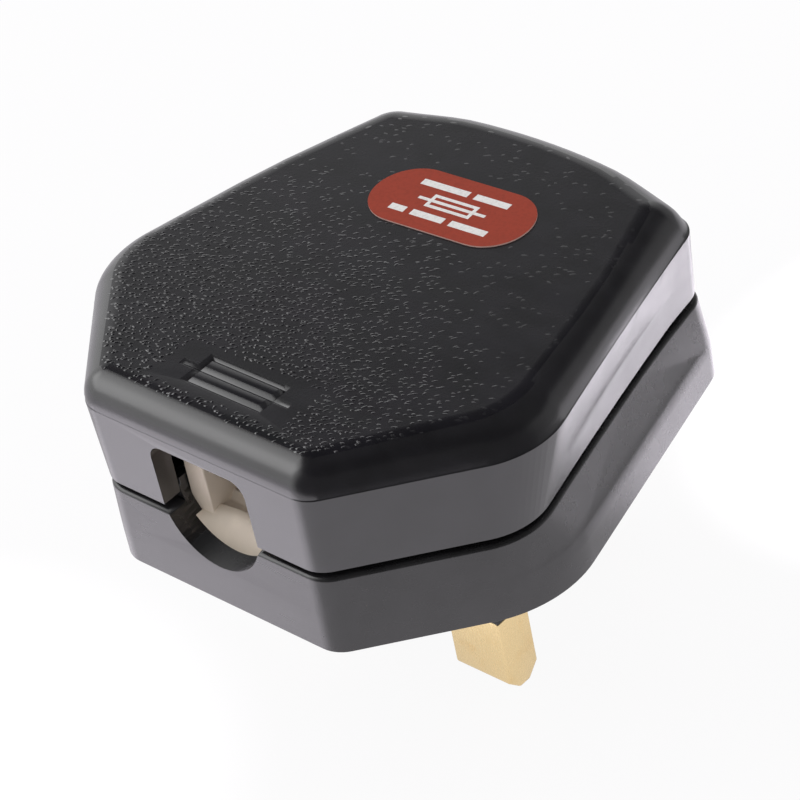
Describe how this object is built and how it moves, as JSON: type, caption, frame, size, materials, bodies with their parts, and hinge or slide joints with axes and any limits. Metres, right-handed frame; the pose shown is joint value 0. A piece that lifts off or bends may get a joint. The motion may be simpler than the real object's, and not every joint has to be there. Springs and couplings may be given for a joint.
{
  "type": "three pin mains plug",
  "caption": "Rewirable fused mains plug with rectangular brass pins, a grained black cover with waisted finger grips, a base with a cable entry, and a cream cord grip.",
  "frame": {"origin": "point on the pin face midway between the two line pins", "axes": "+Z out of the cover, so the pins point to -Z; +Y from the line pins to the earth pin, so the cord leaves to -Y; +X towards the live pin"},
  "size_m": [0.0508, 0.0498, 0.043],
  "materials": {
    "cover_plastic": "grained top, satin sides",
    "base_plastic": "satin",
    "sleeve_plastic": "satin",
    "grip_nylon": "cream, satin",
    "pin_brass": "bright, drawn",
    "clip_brass": "rolled sheet",
    "screw_steel": "plated",
    "fuse_cap_metal": "plated",
    "fuse_ceramic": "unglazed",
    "washer_fibre": "pressed fibre",
    "label_film": "printed film"
  },
  "bodies": {
    "root": {"cover": "cover_plastic", "base": "base_plastic", "cord_grip": "grip_nylon", "live_pin": "pin_brass", "neutral_pin": "pin_brass", "earth_pin": "pin_brass", "live_pin_sleeve": "sleeve_plastic", "neutral_pin_sleeve": "sleeve_plastic", "live_terminal": "pin_brass", "live_terminal_screw": "screw_steel", "neutral_terminal_screw": "screw_steel", "earth_terminal_screw": "screw_steel", "front_fuse_clip": "clip_brass", "rear_fuse_clip": "clip_brass", "fuse_tube": "fuse_ceramic", "front_fuse_cap": "fuse_cap_metal", "rear_fuse_cap": "fuse_cap_metal", "fuse_strip": "fuse_cap_metal", "cover_screw": "screw_steel", "cover_insert": "pin_brass", "screw_washer": "washer_fibre", "rating_label": "label_film"}
  },
  "joints": []
}
